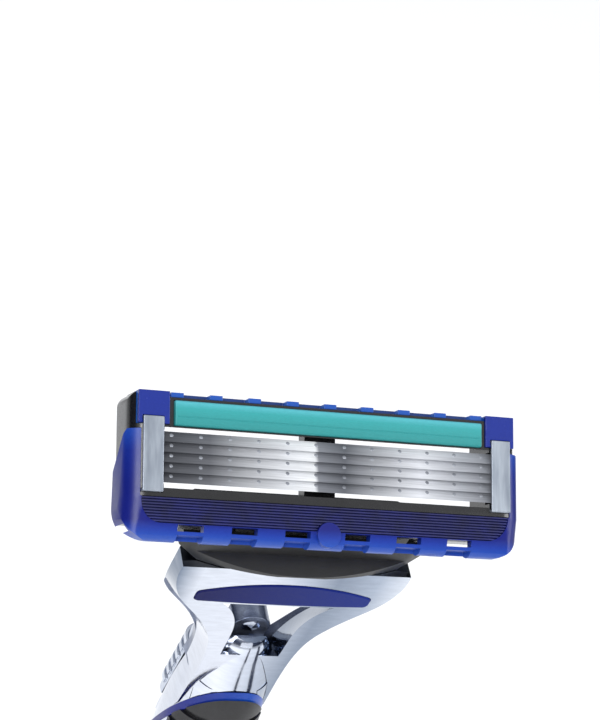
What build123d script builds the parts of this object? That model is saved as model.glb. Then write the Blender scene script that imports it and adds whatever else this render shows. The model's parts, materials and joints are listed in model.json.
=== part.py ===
from build123d import *
from math import cos, sin, tan, radians
import os

# Cartridge razor, standing up along its handle. Units are millimetres.
# +Z runs up the handle to the head, -Y is the shaving side, +X lies along the blades.
# The origin is on the handle's axis in the middle of the grip.

# ---- Where the head stands over the origin ----
FACE_Y = -10.0          # the middle blade's edge, forward of the origin
FACE_Z = 72.0           # the middle blade's edge, above the origin
FACE_ANGLE = 50.0       # degrees that the face's outward direction rises above the horizontal
NECK_ANGLE = 12.0       # degrees that the neck leans forward as it rises

# ---- Blades ----
BLADE_COUNT = 5
BLADE_PITCH = 1.0
BLADE_TILT = 25.0
BLADE_THICK = 0.1
BLADE_WIDTH = 1.2
BLADE_HALF = 18.8       # half a blade's length
BLADE_TRAVEL = 0.25     # how far a blade sinks under load
BEVEL_WIDTH = 0.35      # the sharpened part of a blade's width
SUPPORT_THICK = 0.12
SUPPORT_DEPTH = 2.7     # how far a support's leg reaches behind the face
SUPPORT_HALF = 18.6
SUPPORT_START = 0.4     # where a support's platform begins, back from the edge

# ---- Cartridge housing ----
HOUSING_HALF = 20.9
HOUSING_ROUND = 1.9     # rounding of the housing's upright front edges
HOUSING_CORNER = 1.2    # rounding of its upper corners, seen from the front
HOUSING_DEPTH = 4.6
HOUSING_FRONT = -0.1    # the housing's front, behind the plane of the edges
WINDOW_HALF = 17.45
SLIT = 0.36             # open slit above the top blade
LOWER_SLIT = 0.5        # open slit below the bottom blade
GUARD_BAR = 0.85        # black bar between the window and the guard
BEARING_BAR = 2.55      # height of the housing behind the guard
WINDOW_RELIEF = 0.95    # how far the window widens towards the back
RIB_HALF = 1.67
SLOT_GAP = 0.06         # each side of a support's leg
CAP_BAR = 2.95          # height of the housing above the window
FIT = 0.05              # clearance where one piece drops into another

# ---- Strip, clips and trimmer ----
STRIP_HALF = 16.5
STRIP_HEIGHT = 2.48
STRIP_DEPTH = 0.7
STRIP_PROUD = 0.3
STRIP_EDGE = 0.17       # from the window's top to the strip
CLIP_CENTRE = 18.65
CLIP_WIDTH = 2.11
CLIP_THICK = 0.28
CLIP_LIFT = 0.02        # from the plane of the edges to the clip
CLIP_OVER = 0.97        # how far a clip passes the window at the top
CLIP_UNDER = 0.45       # how far a clip passes the window at the bottom
CLIP_FOLD = 0.9
COMB_HALF = 20.2
COMB_THICK = 0.5
COMB_BACK = 3.6
COMB_FRONT = 1.3        # depth where the comb's bar starts
TAB_COUNT = 9
TAB_PITCH = 4.03
TAB_WIDTH = 1.35
TAB_FRONT = 0.3
CORNER_INNER = 17.0
CORNER_DEPTH = 1.3
CORNER_PROUD = 0.12
TRIMMER_HALF = 15.5
TRIMMER_THICK = 0.12
TRIMMER_HEIGHT = 1.6
TRIMMER_EDGE = 0.08     # how far the trimmer's edge passes the comb

# ---- Guard ----
GUARD_HALF = 21.4       # the widest part of the blue frame
GUARD_NECK = 21.2       # half-width of the frame at its top
GUARD_ROUND = 2.2       # rounding of the frame's upright front edges
GUARD_CORNER = 3.2      # rounding of the frame's lower corners
GUARD_LIP = 19.8        # inner half-width of the frame's front
GUARD_TOP = 3.2
GUARD_HEIGHT = 4.2      # from the black bar down to the skirt's edge
GUARD_DEPTH = 4.3
GUARD_WALL = 0.9
LIP_THICK = 0.5
FIN_COUNT = 9
FIN_PITCH = 0.27
FIN_CREST = 0.11
FIN_HEIGHT = 0.32
FIN_HALF = 19.6
FIN_CORNER = 2.2
FIN_BED = 0.55          # depth of the recess that holds the fins
GUARD_SLOPE = 12.5      # degrees that the guard falls away from the face
SLOT_WIDTH = 2.7
SLOT_HEIGHT = 0.66
SLOT_RISE = 1.0         # from the skirt's edge up to a slot
SLOT_BAR = 0.36         # the bar left under a slot
SLOT_PITCH = 5.6
BOSS_RADIUS = 1.25
BOSS_PROUD = 0.3

# ---- Pivot and connecting yoke ----
PIVOT_RISE = 2.0        # from the bottom of the housing up to the pivot
PIVOT_DEPTH = 3.2       # from the plane of the edges back to the pivot
PIVOT_RANGE = 40.0     # degrees that the cartridge turns; the record reads it
PIN_RADIUS = 0.8
PIN_CLEAR = 0.05
EAR_INNER = 9.0
EAR_THICK = 1.4
EAR_RADIUS = 1.1
EAR_GAP = 0.3
PIN_LENGTH = 1.8
YOKE_HALF = 13.2
YOKE_FOOT_HALF = 11.0
YOKE_BOTTOM = -11.5     # along the neck from the face's centre
YOKE_HEIGHT = 3.2
YOKE_FRONT = -5.0       # across the neck from the face's centre
YOKE_FACE = -2.9
YOKE_BACK = 3.2
YOKE_LIP = 1.3          # height of the lip and the slope above it
YOKE_ROOF = 0.6
RELEASE_TRAVEL = 14.0  # how far the cartridge lifts off; the record reads it

# ---- Docking head and plunger ----
HEAD_HALF = 6.6
HEAD_FRONT = -2.0
HEAD_BACK = 1.6
HEAD_ROOT = 1.9         # how deep the head sits in the fork
SEAT_GAP = 0.1
PLUNGER_RADIUS = 1.1
PLUNGER_FLANGE = 0.35
PLUNGER_GAP = 0.15      # from the plunger's tip to the housing
PLUNGER_CLEAR = 0.06
PLUNGER_TAIL = 0.8
PLUNGER_SPRING = 3.2
WIRE_RADIUS = 0.14

# ---- Fork and neck ----
FORK_HALF = 12.5
FORK_FRONT = -4.1
FORK_DEPTH = 4.2        # along the skewed depth of the arms
FORK_SKEW = 36.0        # degrees that the arms' depth runs down from square to the neck
ARM_THICK = 1.3         # at the arms' backs
BAR_WALL = 0.8          # round the docking head's socket
END_HEIGHT = 3.2        # height of the bar's square ends
NECK_HALF = 4.95
NECK_TOP = -28.5        # where the arms have come together
NECK_BOTTOM = -42.0
BAR_HEIGHT = 6.3        # the fork's top bar, front view
HOLE_BOTTOM = -27.6
HOLE_TOP_HALF = 6.2     # the hole in front, where it is narrower than behind
HOLE_LOW_HALF = 3.3
TIP_HALF = 10.6         # half-width of the fork's back, where its ends are cut away
WEB_FRONT = -2.5
WEB_THICK = 0.7
PLATE_HALF = 9.65
PLATE_TOP = -14.1
PLATE_BOTTOM = -17.65
PLATE_SLOPE = 1.75      # how far the plate's top falls towards its ends
PLATE_CORNER = 0.6
PLATE_THICK = 1.0
PLATE_PROUD = 0.15
LOBE_HALF = 4.2

# ---- Ejector ----
EJECT_TRAVEL = 3.5
PRONG_THICK = 1.37
PRONG_INSET = 0.25      # the pusher's prongs inside the arms' outer edges
NOSE_HALF = 2.1
NOSE_TOP = -24.1
STEM_BOTTOM = -34.0
CHANNEL_HALF = 2.45
CHANNEL_FLOOR = -38.6
SLIDE_GAP = 0.25
BUTTON_HALF = 4.2
BUTTON_TOP = -30.5
BUTTON_BOTTOM = -44.0
BUTTON_THICK = 2.4
BUTTON_ROUND = 1.8
RIDGE_COUNT = 6
RIDGE_PITCH = 1.6
RIDGE_WIDTH = 0.9
RIDGE_HEIGHT = 0.4
RIDGE_START = 3.4       # below the button's top
BUTTON_SPRING_RADIUS = 0.7

# ---- Handle ----
HANDLE_TOP = 42.0       # above the collar, where the handle's loft starts
HANDLE_BOTTOM = -65.0
HANDLE_HALF = 6.35      # widest half-width
HANDLE_DEEP = 6.2       # deepest half-depth
HANDLE_ROUND = 0.93     # corner radius over the smaller half-size
COLLAR_FRONT_Z = 38.6   # the collar plane where it meets the front of the handle
COLLAR_FRONT_Y = -8.6
COLLAR_SLOPE = 61.0
RING_THICK = 0.75
RING_PROUD = 0.12
RING_WALL = 0.9         # ring and handle left in front of the neck's root
GRIP_DEPTH = 1.5
GRIP_PROUD = 0.3
PAD_BACK = -4.2         # the front pad stays in front of this
ROOT_HEIGHT = 9.0       # height of the round part above the neck's foot
GRIP_HALF = 5.1
GRIP_BOTTOM = -30.0
BACK_GRIP_HALF = 4.0
BACK_GRIP_TOP = 14.0
BACK_GRIP_BOTTOM = -34.0
GROOVE_PITCH = 2.4
GROOVE_WIDTH = 0.8
SPIGOT_RADIUS = 2.6
SPIGOT_Y = -3.0
SPIGOT_BOTTOM = 12.0
LOCK_PIN_RADIUS = 0.9
LOCK_PIN_Z = 18.0
LOCK_PIN_GRIP = 0.5     # how far the pin passes the stub at each end
TAIL_HEIGHT = 6.0
TAIL_PEG_RADIUS = 1.5
TAIL_PEG_LENGTH = 7.0

# ---- Values that follow from the sizes above ----
FIRST_EDGE = BLADE_PITCH * (BLADE_COUNT - 1) / 2
BLADE_RUN = BLADE_WIDTH * cos(radians(BLADE_TILT))
WINDOW_TOP = FIRST_EDGE + BLADE_RUN + SLIT
WINDOW_BOTTOM = -FIRST_EDGE - LOWER_SLIT
BAR_BOTTOM = WINDOW_BOTTOM - GUARD_BAR
HOUSING_TOP = WINDOW_TOP + CAP_BAR
HOUSING_BOTTOM = BAR_BOTTOM - BEARING_BAR
SKIRT_BACK = GUARD_WALL + 0.9
LEG_FLOOR = SUPPORT_DEPTH + BLADE_TRAVEL + 0.1
GUARD_BOTTOM = BAR_BOTTOM - GUARD_HEIGHT
PIVOT_V = HOUSING_BOTTOM + PIVOT_RISE
EAR_OUTER = EAR_INNER + EAR_THICK
YOKE_TOP = YOKE_BOTTOM + YOKE_HEIGHT
FORK_TOP = YOKE_BOTTOM - SEAT_GAP
HEAD_TOP = YOKE_TOP - YOKE_ROOF - SEAT_GAP
HEAD_MIDDLE = (HEAD_FRONT + HEAD_BACK) / 2
FORK_BACK = FORK_FRONT + FORK_DEPTH * cos(radians(FORK_SKEW))
ARM_DROP = FORK_DEPTH * sin(radians(FORK_SKEW))
BAR_BOTTOM_Z = FORK_TOP - BAR_HEIGHT
PLATE_BACK = FORK_FRONT + PLATE_THICK
PRONG_FRONT = FORK_BACK + SLIDE_GAP
PRONG_BACK = PRONG_FRONT + PRONG_THICK
PRONG_DROP = (PRONG_BACK - FORK_FRONT) * tan(radians(FORK_SKEW))

FACE = Plane(
    origin=(0, FACE_Y, FACE_Z),
    x_dir=(1, 0, 0),
    z_dir=(0, -cos(radians(FACE_ANGLE)), sin(radians(FACE_ANGLE))),
)
NECK = Plane(
    origin=(0, FACE_Y, FACE_Z),
    x_dir=(1, 0, 0),
    z_dir=(0, -sin(radians(NECK_ANGLE)), cos(radians(NECK_ANGLE))),
)
SIDES = (-1, 1)


# ---- Small helpers ----
def block(x, y, z):
    """A box between two limits on each axis."""
    size = (x[1] - x[0], y[1] - y[0], z[1] - z[0])
    middle = ((x[0] + x[1]) / 2, (y[0] + y[1]) / 2, (z[0] + z[1]) / 2)
    return Pos(*middle) * Box(*size)


def pair(x, y, z):
    """The same box at +X and at -X."""
    return block(x, y, z) + block((-x[1], -x[0]), y, z)


def polygon(points):
    return make_face(Polyline(*points, close=True))


def along_x(outline, x):
    """A prism between two X limits; the outline is a face drawn as (Y, Z)."""
    return extrude(Plane.YZ.offset(x[0]) * outline, amount=x[1] - x[0])


def along_y(outline, y):
    """A prism between two Y limits; the outline is a face drawn as (X, Z)."""
    return extrude(Plane.XZ.offset(-y[0]) * outline, amount=-(y[1] - y[0]))


def rod_x(radius, x, y, z):
    length = x[1] - x[0]
    return Pos((x[0] + x[1]) / 2, y, z) * Rot(0, 90, 0) * Cylinder(radius, length)


def rod_z(radius, x, y, z):
    return Pos(x, y, (z[0] + z[1]) / 2) * Cylinder(radius, z[1] - z[0])


def on_face(shape):
    """Moves a shape from the cartridge's own frame: X, up the face, out of the face."""
    return FACE.location * shape


def on_neck(shape):
    """Moves a shape from the neck's own frame: X, back across the neck, up along it."""
    return NECK.location * shape


def blade_edge(index):
    return FIRST_EDGE - BLADE_PITCH * index


# ---- Blades ----
def along_blade(edge, distance, depth=0.0):
    """A point on a blade's section: back from its edge, and in from its outer face."""
    tilt = radians(BLADE_TILT)
    up = edge + distance * cos(tilt) - depth * sin(tilt)
    out = -distance * sin(tilt) - depth * cos(tilt)
    return (up, out)


def blade(index):
    edge = blade_edge(index)
    section = (
        (edge, 0),
        along_blade(edge, BLADE_WIDTH),
        along_blade(edge, BLADE_WIDTH, BLADE_THICK),
        along_blade(edge, BEVEL_WIDTH, BLADE_THICK),
    )
    return on_face(along_x(polygon(section), (-BLADE_HALF, BLADE_HALF)))


def leg_limits(index):
    """Up-the-face limits of a support's leg."""
    upper = along_blade(blade_edge(index), BLADE_WIDTH, BLADE_THICK)[0]
    return (upper - SUPPORT_THICK, upper)


def blade_support(index):
    edge = blade_edge(index)
    leg = leg_limits(index)
    under = along_blade(edge, SUPPORT_START, BLADE_THICK + SUPPORT_THICK)
    inner = under[1] - (leg[0] - under[0]) * tan(radians(BLADE_TILT))
    section = (
        along_blade(edge, SUPPORT_START, BLADE_THICK),
        along_blade(edge, BLADE_WIDTH, BLADE_THICK),
        (leg[1], -SUPPORT_DEPTH),
        (leg[0], -SUPPORT_DEPTH),
        (leg[0], inner),
        under,
    )
    return on_face(along_x(polygon(section), (-SUPPORT_HALF, SUPPORT_HALF)))


# ---- Clips, strip and trimmer ----
def clip_limits():
    return (WINDOW_BOTTOM - CLIP_UNDER, WINDOW_TOP + CLIP_OVER)


def clip_shape(side, grow=0.0):
    """A staple of thin metal round the housing; grow gives the slots that it passes."""
    low, high = clip_limits()
    middle = side * CLIP_CENTRE
    x = (middle - CLIP_WIDTH / 2 - grow, middle + CLIP_WIDTH / 2 + grow)
    front = CLIP_LIFT + CLIP_THICK
    back = -HOUSING_DEPTH - CLIP_LIFT
    shape = block(x, (low - grow, high + grow), (CLIP_LIFT - grow, front + grow))
    shape += block(x, (high - CLIP_THICK - grow, high + grow), (back - CLIP_THICK - grow, front))
    shape += block(x, (low - grow, low + CLIP_THICK + grow), (back - CLIP_THICK - grow, front))
    shape += block(x, (high - CLIP_FOLD, high + grow), (back - CLIP_THICK, back))
    shape += block(x, (low - grow, low + CLIP_FOLD), (back - CLIP_THICK, back))
    return shape


def clip(side):
    return on_face(clip_shape(side))


def strip_limits(grow=0.0):
    low = WINDOW_TOP + STRIP_EDGE
    return (low - grow, low + STRIP_HEIGHT + grow)


def lubricating_strip():
    low, high = strip_limits()
    shape = block((-STRIP_HALF, STRIP_HALF), (low, high), (-STRIP_DEPTH, STRIP_PROUD))
    top = shape.edges().filter_by(Axis.X).group_by(Axis.Z)[-1]
    return on_face(fillet(top, STRIP_PROUD * 0.8))


def comb_limits():
    return (HOUSING_TOP + FIT, HOUSING_TOP + FIT + COMB_THICK)


def trimmer_comb():
    v = comb_limits()
    shape = block((-COMB_HALF, COMB_HALF), v, (-COMB_BACK, -COMB_FRONT))
    for index in range(TAB_COUNT):
        middle = (index - (TAB_COUNT - 1) / 2) * TAB_PITCH
        x = (middle - TAB_WIDTH / 2, middle + TAB_WIDTH / 2)
        shape += block(x, v, (-COMB_FRONT - FIT, -TAB_FRONT))
    bottom = WINDOW_TOP + STRIP_EDGE + 2 * FIT
    shape += pair((CORNER_INNER, COMB_HALF), (bottom, v[1]), (-CORNER_DEPTH, CORNER_PROUD))
    for side in SIDES:
        shape -= clip_shape(side, FIT)
    return on_face(shape)


def trimmer_blade():
    top = comb_limits()[1] + TRIMMER_EDGE
    low = top - TRIMMER_HEIGHT
    depth = COMB_BACK + TRIMMER_THICK
    section = (
        (low, -depth),
        (low, -COMB_BACK),
        (top, -COMB_BACK),
        (top - BEVEL_WIDTH, -depth),
    )
    return on_face(along_x(polygon(section), (-TRIMMER_HALF, TRIMMER_HALF)))


# ---- Housing ----
def window(x):
    """The opening that the blades lie in, wider behind than in front."""
    section = (
        (WINDOW_BOTTOM, 1),
        (WINDOW_TOP, 1),
        (WINDOW_TOP, HOUSING_FRONT),
        (WINDOW_TOP + WINDOW_RELIEF, -HOUSING_DEPTH - 1),
        (WINDOW_BOTTOM, -HOUSING_DEPTH - 1),
    )
    return along_x(polygon(section), x)


def blade_slots(shape):
    """Cuts room for the blades' ends, and a guide slot for each support's leg."""
    end = (WINDOW_HALF - 0.5, BLADE_HALF + 2 * FIT)
    low = -FIRST_EDGE - 2 * FIT
    high = FIRST_EDGE + BLADE_RUN + 2 * FIT
    room = BLADE_RUN * tan(radians(BLADE_TILT)) + BLADE_THICK + SUPPORT_THICK + BLADE_TRAVEL + FIT
    shape -= pair(end, (low, high), (-room, 1))
    for index in range(BLADE_COUNT):
        leg = leg_limits(index)
        shape -= pair(end, (leg[0] - SLOT_GAP, leg[1] + SLOT_GAP), (-LEG_FLOOR, 0))
    return shape


def ear_pockets(shape):
    """Cuts the openings that the yoke's ears turn in, and the bores for their pins."""
    x = (EAR_INNER - EAR_GAP, EAR_OUTER + EAR_GAP)
    reach = EAR_RADIUS + EAR_GAP
    v = (HOUSING_BOTTOM - 1, PIVOT_V + reach + 0.3)
    shape -= pair(x, v, (-HOUSING_DEPTH - 1, -PIVOT_DEPTH + reach - 0.1))
    for side in SIDES:
        ends = sorted((side * EAR_INNER, side * (EAR_OUTER + PIN_LENGTH + 2 * PIN_CLEAR)))
        shape -= rod_x(PIN_RADIUS + PIN_CLEAR, ends, PIVOT_V, -PIVOT_DEPTH)
    return shape


def trimmer_seat(shape):
    """Cuts the slot behind the comb that holds the trimmer's blade."""
    low = comb_limits()[1] + TRIMMER_EDGE - TRIMMER_HEIGHT
    depth = (-COMB_BACK - TRIMMER_THICK - FIT, -COMB_BACK)
    shape -= block((-TRIMMER_HALF - FIT, TRIMMER_HALF + FIT), (low - FIT, HOUSING_TOP + 1), depth)
    clear = (-COMB_HALF - FIT, COMB_HALF + FIT)
    return shape - block(clear, (low + 0.6, HOUSING_TOP + 1), (-HOUSING_DEPTH - 1, -COMB_BACK))


def rounded_plan(half, front, corner):
    """A deep block with rounded front edges, seen along the face and drawn as (X, out)."""
    depth = 4 * HOUSING_DEPTH
    return Pos(0, front - depth / 2) * RectangleRounded(2 * half, depth, corner)


def housing_block():
    """The housing before its openings: its ends rise beside the comb."""
    top = comb_limits()[1]
    section = (
        (top, HOUSING_FRONT),
        (top, -HOUSING_DEPTH),
        (HOUSING_BOTTOM + 0.6, -HOUSING_DEPTH),
        (HOUSING_BOTTOM, -HOUSING_DEPTH + 0.6),
        (HOUSING_BOTTOM, -SKIRT_BACK),
        (BAR_BOTTOM, -SKIRT_BACK),
        (BAR_BOTTOM, HOUSING_FRONT),
    )
    shape = along_x(polygon(section), (-HOUSING_HALF, HOUSING_HALF))
    ends = shape.edges().filter_by(Axis.Z).group_by(Axis.Y)[-1]
    shape = fillet(ends, HOUSING_CORNER)
    plan = rounded_plan(HOUSING_HALF, HOUSING_FRONT, HOUSING_ROUND)
    shape = shape & along_y(plan, (HOUSING_BOTTOM - 1, top + 1))
    middle = (-COMB_HALF - FIT, COMB_HALF + FIT)
    return shape - block(middle, (HOUSING_TOP, top + 1), (-HOUSING_DEPTH - 1, 1))


def cartridge_housing():
    shape = housing_block()
    shape -= window((-WINDOW_HALF, WINDOW_HALF))
    rib = (-HOUSING_DEPTH, -LEG_FLOOR)
    shape += block((-RIB_HALF, RIB_HALF), (WINDOW_BOTTOM - 0.1, WINDOW_TOP + WINDOW_RELIEF), rib)
    shape = blade_slots(shape)
    shape -= block((-STRIP_HALF - FIT, STRIP_HALF + FIT), strip_limits(FIT), (-STRIP_DEPTH, 1))
    corner = (WINDOW_TOP + STRIP_EDGE + FIT, HOUSING_TOP + 1)
    shape -= pair((CORNER_INNER - FIT, COMB_HALF + FIT), corner, (-CORNER_DEPTH - FIT, 1))
    lip = (BAR_BOTTOM - 1, GUARD_TOP + FIT)
    shape -= pair((GUARD_LIP - FIT, HOUSING_HALF + 1), lip, (HOUSING_FRONT - LIP_THICK - FIT, 1))
    shape = trimmer_seat(shape)
    for side in SIDES:
        shape -= clip_shape(side, FIT)
    return on_face(ear_pockets(shape))


# ---- Guard ----
def guard_surface(v):
    """How far out the guard's sloping front stands at a height on the face."""
    return HOUSING_FRONT + min(0.0, v - BAR_BOTTOM) * tan(radians(GUARD_SLOPE))


def guard_outline():
    """The frame's outline seen square to the face."""
    low = GUARD_BOTTOM
    corner = (GUARD_HALF, low + GUARD_CORNER)
    foot = (GUARD_HALF - GUARD_CORNER, low)
    bend = GUARD_CORNER * (1 - cos(radians(45)))
    right = (
        Line((GUARD_NECK, GUARD_TOP), corner),
        ThreePointArc(corner, (GUARD_HALF - bend, low + bend), foot),
    )
    left = [edge.mirror(Plane.YZ) for edge in right]
    top = Line((-GUARD_NECK, GUARD_TOP), (GUARD_NECK, GUARD_TOP))
    bottom = Line((-foot[0], foot[1]), foot)
    return make_face([top, bottom, *right, *left])


def guard_rounding(inset=0.0):
    """The space inside the frame's rounded upright edges; below the bar it leans with the guard."""
    plan = rounded_plan(GUARD_HALF - inset, HOUSING_FRONT - inset, GUARD_ROUND)
    base = Plane.XZ.offset(-BAR_BOTTOM) * plan
    slope = radians(GUARD_SLOPE)
    lower = (GUARD_HEIGHT + 1) / cos(slope)
    shape = extrude(base, amount=GUARD_TOP + 1 - BAR_BOTTOM, dir=(0, 1, 0))
    return shape + extrude(base, amount=lower, dir=(0, -cos(slope), -sin(slope)))


def guard_profile():
    """The frame's section: the wing's slanted edge, the front, and the skirt's curl."""
    low = GUARD_BOTTOM
    curl = ThreePointArc(
        (low + 0.55, guard_surface(low + 0.55) - 0.1),
        (low + 0.08, guard_surface(low) - 0.6),
        (low + 0.35, -GUARD_DEPTH + 1.4),
    )
    outline = (
        Line((GUARD_TOP, HOUSING_FRONT), (BAR_BOTTOM, HOUSING_FRONT)),
        Line((BAR_BOTTOM, HOUSING_FRONT), (low + 0.55, guard_surface(low + 0.55) - 0.1)),
        curl,
        Line((low + 0.35, -GUARD_DEPTH + 1.4), (low + 1.6, -GUARD_DEPTH)),
        Line((low + 1.6, -GUARD_DEPTH), (-0.6, -GUARD_DEPTH)),
        Line((-0.6, -GUARD_DEPTH), (GUARD_TOP, -1.0)),
        Line((GUARD_TOP, -1.0), (GUARD_TOP, HOUSING_FRONT)),
    )
    return make_face(outline)


def boss_height():
    """The boss's centre on the face, just above the skirt's edge."""
    return GUARD_BOTTOM + BOSS_RADIUS + 0.15


def slot_centres():
    first = SLOT_PITCH / 2 + 0.4
    return [side * (first + SLOT_PITCH * index) for index in range(3) for side in SIDES]


def frame_seat():
    """The room inside the frame that the housing fills, behind the frame's front lips."""
    plan = rounded_plan(HOUSING_HALF + FIT, HOUSING_FRONT, HOUSING_ROUND)
    room = along_y(plan, (BAR_BOTTOM - FIT, GUARD_TOP + 1))
    behind = (-GUARD_DEPTH - 1, HOUSING_FRONT - LIP_THICK)
    room = room & block((-GUARD_HALF, GUARD_HALF), (BAR_BOTTOM - 1, GUARD_TOP + 2), behind)
    hollow = (GUARD_BOTTOM + GUARD_WALL, BAR_BOTTOM)
    half = HOUSING_HALF + FIT
    return room + block((-half, half), hollow, (-GUARD_DEPTH - 1, -SKIRT_BACK + FIT))


def frame_slots(shape):
    """Cuts the slots along the skirt, and the notches that leave a thin bar under each."""
    low = GUARD_BOTTOM + SLOT_RISE
    for middle in slot_centres():
        x = (middle - SLOT_WIDTH / 2, middle + SLOT_WIDTH / 2)
        shape -= block(x, (low, low + SLOT_HEIGHT), (-SKIRT_BACK - 1, 1))
        shape -= block(x, (GUARD_BOTTOM - 1, low - SLOT_BAR), (-SKIRT_BACK - 1, 1))
    return shape


def guard_frame():
    wide = (-GUARD_HALF - 1, GUARD_HALF + 1)
    shape = extrude(Plane.XY.offset(-GUARD_DEPTH - 1) * guard_outline(), amount=GUARD_DEPTH + 2)
    shape = shape & along_x(guard_profile(), wide)
    shape = shape & guard_rounding()
    shape -= block((-GUARD_LIP, GUARD_LIP), (BAR_BOTTOM, GUARD_TOP + 1), (-GUARD_DEPTH - 1, 1))
    shape -= frame_seat()
    shape -= fin_space(FIT)
    shape = frame_slots(shape)
    front = guard_surface(boss_height()) + BOSS_PROUD
    shape += rod_z(BOSS_RADIUS, 0, boss_height(), (-SKIRT_BACK + FIT, front))
    return on_face(shape)


def fin_floor(v):
    return guard_surface(v) - FIN_BED


def fin_limits():
    low = BAR_BOTTOM - FIN_COUNT * FIN_PITCH - FIT
    return (low, BAR_BOTTOM)


def fin_space(grow=0.0):
    """The shallow recess for the fins, with round lower corners."""
    low, high = fin_limits()
    half = FIN_HALF + grow
    bend = FIN_CORNER * (1 - cos(radians(45)))
    corner = (half, low + FIN_CORNER)
    foot = (half - FIN_CORNER, low)
    side = (
        Line((half, high), corner),
        ThreePointArc(corner, (half - bend, low + bend), foot),
    )
    left = [edge.mirror(Plane.YZ) for edge in side]
    top = Line((-half, high), (half, high))
    bottom = Line((-foot[0], foot[1]), foot)
    outline = make_face([top, bottom, *side, *left])
    bed = polygon(((high, 1), (high, fin_floor(high)), (low, fin_floor(low)), (low, 1)))
    shape = extrude(Plane.XY.offset(-SKIRT_BACK) * outline, amount=SKIRT_BACK + 1)
    return shape & along_x(bed, (-half, half))


def guard_fins():
    low, high = fin_limits()
    base = 0.15
    points = [(low, fin_floor(low)), (high, fin_floor(high)), (high, fin_floor(high) + base)]
    for index in range(FIN_COUNT):
        middle = high - FIN_PITCH * (index + 0.5)
        wide = FIN_PITCH / 2 - 0.02
        points.append((middle + wide, fin_floor(middle + wide) + base))
        points.append((middle + FIN_CREST / 2, fin_floor(middle) + base + FIN_HEIGHT))
        points.append((middle - FIN_CREST / 2, fin_floor(middle) + base + FIN_HEIGHT))
        points.append((middle - wide, fin_floor(middle - wide) + base))
    points.append((low, fin_floor(low) + base))
    fins = along_x(polygon(points), (-FIN_HALF, FIN_HALF))
    fins = fins & fin_space() & guard_rounding(FIT)
    return on_face(fins - rod_z(BOSS_RADIUS + FIT, 0, boss_height(), (-SKIRT_BACK, 1)))


# ---- Pivot: where the cartridge turns on the yoke ----
def turned_pivot():
    angle = radians(90 - FACE_ANGLE)
    y = PIVOT_V * cos(angle) + PIVOT_DEPTH * sin(angle)
    z = PIVOT_V * sin(angle) - PIVOT_DEPTH * cos(angle)
    lean = radians(NECK_ANGLE)
    return (y * cos(lean) + z * sin(lean), -y * sin(lean) + z * cos(lean))


def plunger_centre(turn):
    """Height along the neck of the plunger's dome when the cartridge has turned."""
    pivot_y, pivot_z = turned_pivot()
    angle = radians(FACE_ANGLE + turn + NECK_ANGLE)
    reach = HOUSING_DEPTH - PIVOT_DEPTH + PLUNGER_RADIUS + PLUNGER_GAP
    return pivot_z + (-reach + (HEAD_MIDDLE - pivot_y) * cos(angle)) / sin(angle)


def connecting_yoke():
    plan = make_face(
        [
            ThreePointArc((-YOKE_HALF, -2.4), (0, YOKE_FRONT), (YOKE_HALF, -2.4)),
            Polyline(
                (YOKE_HALF, -2.4),
                (YOKE_HALF, YOKE_BACK - 1),
                (YOKE_HALF - 2, YOKE_BACK),
                (-YOKE_HALF + 2, YOKE_BACK),
                (-YOKE_HALF, YOKE_BACK - 1),
                (-YOKE_HALF, -2.4),
            ),
        ]
    )
    shape = extrude(Plane.XY.offset(YOKE_BOTTOM) * plan, amount=YOKE_HEIGHT)
    side = (
        (YOKE_FRONT + 0.1, YOKE_BOTTOM),
        (YOKE_FRONT, YOKE_BOTTOM + 0.3),
        (YOKE_FACE - 0.2, YOKE_BOTTOM + YOKE_LIP),
        (YOKE_FACE, YOKE_TOP),
        (YOKE_BACK, YOKE_TOP),
        (YOKE_BACK, YOKE_BOTTOM),
    )
    shape = shape & along_x(polygon(side), (-YOKE_HALF, YOKE_HALF))
    for sign in SIDES:
        corner = (
            (sign * YOKE_FOOT_HALF, YOKE_BOTTOM),
            (sign * YOKE_HALF, YOKE_BOTTOM + 1.4),
            (sign * (YOKE_HALF + 1), YOKE_BOTTOM + 1.4),
            (sign * (YOKE_HALF + 1), YOKE_BOTTOM - 1),
            (sign * YOKE_FOOT_HALF, YOKE_BOTTOM - 1),
        )
        shape -= along_y(polygon(corner), (YOKE_FRONT - 1, YOKE_BACK + 1))
    pivot_y, pivot_z = turned_pivot()
    root = YOKE_TOP - 0.2
    ear = (
        (YOKE_FACE, root),
        (pivot_y - EAR_RADIUS, pivot_z),
        (pivot_y + EAR_RADIUS, pivot_z),
        (pivot_y + EAR_RADIUS + 1.2, root),
    )
    for sign in SIDES:
        x = sorted((sign * EAR_INNER, sign * EAR_OUTER))
        shape += along_x(polygon(ear), x)
        shape += rod_x(EAR_RADIUS, x, pivot_y, pivot_z)
        ends = sorted((sign * EAR_INNER, sign * (EAR_OUTER + PIN_LENGTH)))
        shape += rod_x(PIN_RADIUS, ends, pivot_y, pivot_z)
    socket = (YOKE_BOTTOM - 1, YOKE_TOP - YOKE_ROOF)
    half = HEAD_HALF + FIT
    shape -= block((-half, half), (HEAD_FRONT - FIT, HEAD_BACK + FIT), socket)
    shape -= rod_z(PLUNGER_RADIUS + 3 * PLUNGER_CLEAR, 0, HEAD_MIDDLE, (YOKE_BOTTOM, YOKE_TOP + 1))
    return on_neck(shape)


# ---- Docking head and plunger ----
def plunger_limits():
    """The plunger's foot and its dome's centre, at rest."""
    top = plunger_centre(0)
    return (FORK_TOP - HEAD_ROOT - 1.0, top)


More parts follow.
